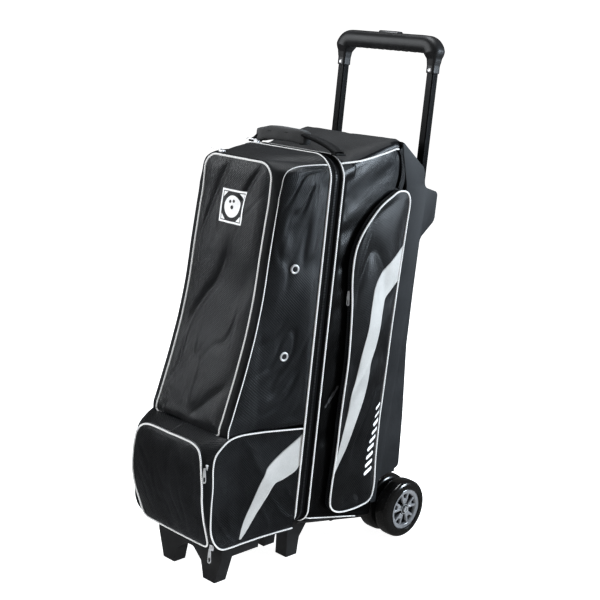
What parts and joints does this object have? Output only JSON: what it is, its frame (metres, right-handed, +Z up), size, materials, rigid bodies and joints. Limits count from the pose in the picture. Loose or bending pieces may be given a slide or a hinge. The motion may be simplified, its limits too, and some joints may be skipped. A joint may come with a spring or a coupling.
{
  "type": "three-ball roller bag",
  "caption": "Upright wheeled bowling ball bag with a leaning ball compartment, bowed front door with lower pocket, side pockets, twin wheels and telescopic handle.",
  "frame": {"origin": "on the floor, in the middle of the bag's own box, handle out", "axes": "+X across the bag to the wearer's right seen from the front, -Y is the front with the door, +Z up"},
  "size_m": [0.343, 0.5926, 1.0674],
  "materials": {
    "shell_fabric": "black ballistic nylon, fine weave",
    "panel_fabric": "black dobby nylon with light piping",
    "zip_tape": "black coil zipper and tape",
    "board": "stiffener board",
    "foam": "moulded foam",
    "panel_plastic": "charcoal textured plastic",
    "base_plastic": "black moulded plastic",
    "black_tube": "black anodised tube",
    "plug_plastic": "glide plug",
    "grip_plastic": "satin black plastic",
    "button_plastic": "satin black plastic",
    "steel": "zinc plated steel",
    "eyelet": "black eyelet",
    "webbing": "black webbing",
    "wrap_fabric": "padded wrap",
    "tyre": "glossy black polyurethane",
    "rim_plastic": "silver grey plastic",
    "nickel": "nickel plated"
  },
  "bodies": {
    "rear_body": {"rear_shell": "shell_fabric", "ball_cradle_lower": "foam", "ball_cradle_middle": "foam", "ball_cradle_upper": "foam", "rear_zip_ring": "zip_tape", "back_panel": "panel_plastic", "tube_bracket_left": "panel_plastic", "tube_bracket_right": "panel_plastic", "outer_tube_left": "black_tube", "outer_tube_right": "black_tube", "rear_base": "base_plastic", "axle": "steel", "axle_nuts": "steel", "wheel_spacers": "steel", "wheel_bearings": "steel", "side_pocket_left": "shell_fabric", "side_pocket_right": "shell_fabric", "grab_anchors": "webbing"},
    "handle": {"inner_tube_left": "black_tube", "inner_tube_right": "black_tube", "tube_plug_left": "plug_plastic", "tube_plug_right": "plug_plastic", "grip_front": "grip_plastic", "grip_rear": "grip_plastic", "grip_rivets": "steel", "button_spring": "steel"},
    "release": {"release_button": "button_plastic", "release_rods": "steel"},
    "front_door": {"front_zip_ring": "zip_tape", "door_board": "board", "upper_shell": "shell_fabric", "lower_pocket": "shell_fabric", "front_base": "base_plastic", "vent_eyelets": "eyelet"},
    "upper_cover": {"upper_cover": "panel_fabric"},
    "lower_flap": {"lower_flap": "panel_fabric"},
    "side_flap_left": {"side_flap_left": "panel_fabric"},
    "side_flap_right": {"side_flap_right": "panel_fabric"},
    "grab_handle": {"grab_webbing": "webbing", "grab_wrap": "wrap_fabric"},
    "wheel_left_outer": {"tyre_left_outer": "tyre", "rim_left_outer": "rim_plastic"},
    "wheel_left_inner": {"tyre_left_inner": "tyre", "rim_left_inner": "rim_plastic"},
    "wheel_right_outer": {"tyre_right_outer": "tyre", "rim_right_outer": "rim_plastic"},
    "wheel_right_inner": {"tyre_right_inner": "tyre", "rim_right_inner": "rim_plastic"},
    "zip_slider_ring": {"slider_ring": "nickel"},
    "zip_pull_ring": {"pull_ring": "nickel"},
    "zip_slider_cover": {"slider_cover": "nickel"},
    "zip_pull_cover": {"pull_cover": "nickel"},
    "zip_slider_corner_high": {"slider_corner_high": "nickel"},
    "zip_pull_corner_high": {"pull_corner_high": "nickel"},
    "zip_slider_corner_low": {"slider_corner_low": "nickel"},
    "zip_pull_corner_low": {"pull_corner_low": "nickel"},
    "zip_slider_pocket_left": {"slider_pocket_left": "nickel"},
    "zip_pull_pocket_left": {"pull_pocket_left": "nickel"},
    "zip_slider_pocket_right": {"slider_pocket_right": "nickel"},
    "zip_pull_pocket_right": {"pull_pocket_right": "nickel"}
  },
  "joints": [
    {"name": "handle_slide", "type": "slide", "parent": "rear_body", "child": "handle", "axis": [0, 0.0698, 0.9976], "range_m": [-0.19, 0]},
    {"name": "release_press", "type": "slide", "parent": "handle", "child": "release", "axis": [0, -0.0698, -0.9976], "range_m": [0, 0.004], "stiffness_N_per_m": 1500, "springref_m": -0.006, "deforming": ["button_spring"]},
    {"name": "front_door_hinge", "type": "hinge", "parent": "rear_body", "child": "front_door", "pos_m": [-0.134, -0.03125, 0.46359], "axis": [0, -0.0698, -0.9976], "range_deg": [0, 85]},
    {"name": "upper_cover_hinge", "type": "hinge", "parent": "front_door", "child": "upper_cover", "pos_m": [0, -0.25, 0.3126], "axis": [1, 0, 0], "range_deg": [0, 80]},
    {"name": "lower_flap_hinge", "type": "hinge", "parent": "front_door", "child": "lower_flap", "pos_m": [0, -0.2735, 0.094], "axis": [1, 0, 0], "range_deg": [0, 75]},
    {"name": "side_flap_right_hinge", "type": "hinge", "parent": "rear_body", "child": "side_flap_right", "pos_m": [0.1445, 0.16886, 0.42955], "axis": [0, 0.0698, 0.9976], "range_deg": [0, 40]},
    {"name": "side_flap_left_hinge", "type": "hinge", "parent": "rear_body", "child": "side_flap_left", "pos_m": [-0.1445, 0.16886, 0.42955], "axis": [0, -0.0698, -0.9976], "range_deg": [0, 40]},
    {"name": "grab_handle_fold", "type": "hinge", "parent": "rear_body", "child": "grab_handle", "pos_m": [0, 0.01044, 0.83759], "axis": [1, 0, 0], "range_deg": [-60, 25]},
    {"name": "wheel_left_outer_spin", "type": "hinge", "parent": "rear_body", "child": "wheel_left_outer", "pos_m": [-0.1515, 0.233, 0.0635], "axis": [1, 0, 0], "continuous": true},
    {"name": "wheel_left_inner_spin", "type": "hinge", "parent": "rear_body", "child": "wheel_left_inner", "pos_m": [-0.103, 0.233, 0.0635], "axis": [1, 0, 0], "continuous": true},
    {"name": "wheel_right_outer_spin", "type": "hinge", "parent": "rear_body", "child": "wheel_right_outer", "pos_m": [0.1515, 0.233, 0.0635], "axis": [1, 0, 0], "continuous": true},
    {"name": "wheel_right_inner_spin", "type": "hinge", "parent": "rear_body", "child": "wheel_right_inner", "pos_m": [0.103, 0.233, 0.0635], "axis": [1, 0, 0], "continuous": true},
    {"name": "slider_ring_slide", "type": "slide", "parent": "rear_body", "child": "zip_slider_ring", "axis": [1, 0, 0], "range_m": [0, 0.19]},
    {"name": "pull_ring_swing", "type": "hinge", "parent": "zip_slider_ring", "child": "zip_pull_ring", "pos_m": [-0.096, -0.00488, 0.84067], "axis": [0, 0.9976, -0.0698], "range_deg": [0, 170]},
    {"name": "slider_cover_slide", "type": "slide", "parent": "front_door", "child": "zip_slider_cover", "axis": [1, 0, 0], "range_m": [0, 0.11]},
    {"name": "pull_cover_swing", "type": "hinge", "parent": "zip_slider_cover", "child": "zip_pull_cover", "pos_m": [-0.059, -0.131, 0.832], "axis": [0, 1, 0], "range_deg": [0, 170]},
    {"name": "slider_corner_high_slide", "type": "slide", "parent": "front_door", "child": "zip_slider_corner_high", "axis": [0, 0, -1], "range_m": [0, 0.06]},
    {"name": "pull_corner_high_swing", "type": "hinge", "parent": "zip_slider_corner_high", "child": "zip_pull_corner_high", "pos_m": [0.106, -0.291, 0.265], "axis": [-1, 0, 0], "range_deg": [0, 90]},
    {"name": "slider_corner_low_slide", "type": "slide", "parent": "front_door", "child": "zip_slider_corner_low", "axis": [0, -0.2356, 0.9719], "range_m": [0, 0.085]},
    {"name": "pull_corner_low_swing", "type": "hinge", "parent": "zip_slider_corner_low", "child": "zip_pull_corner_low", "pos_m": [0.106, -0.271, 0.097], "axis": [-1, 0, 0], "range_deg": [0, 90]},
    {"name": "slider_pocket_left_slide", "type": "slide", "parent": "rear_body", "child": "zip_slider_pocket_left", "axis": [0, -0.0698, -0.9976], "range_m": [0, 0.4]},
    {"name": "pull_pocket_left_swing", "type": "hinge", "parent": "zip_slider_pocket_left", "child": "zip_pull_pocket_left", "pos_m": [-0.1394, 0.0401, 0.56786], "axis": [-1, 0, 0], "range_deg": [0, 90]},
    {"name": "slider_pocket_right_slide", "type": "slide", "parent": "rear_body", "child": "zip_slider_pocket_right", "axis": [0, -0.0698, -0.9976], "range_m": [0, 0.4]},
    {"name": "pull_pocket_right_swing", "type": "hinge", "parent": "zip_slider_pocket_right", "child": "zip_pull_pocket_right", "pos_m": [0.1394, 0.0401, 0.56786], "axis": [-1, 0, 0], "range_deg": [0, 90]}
  ]
}
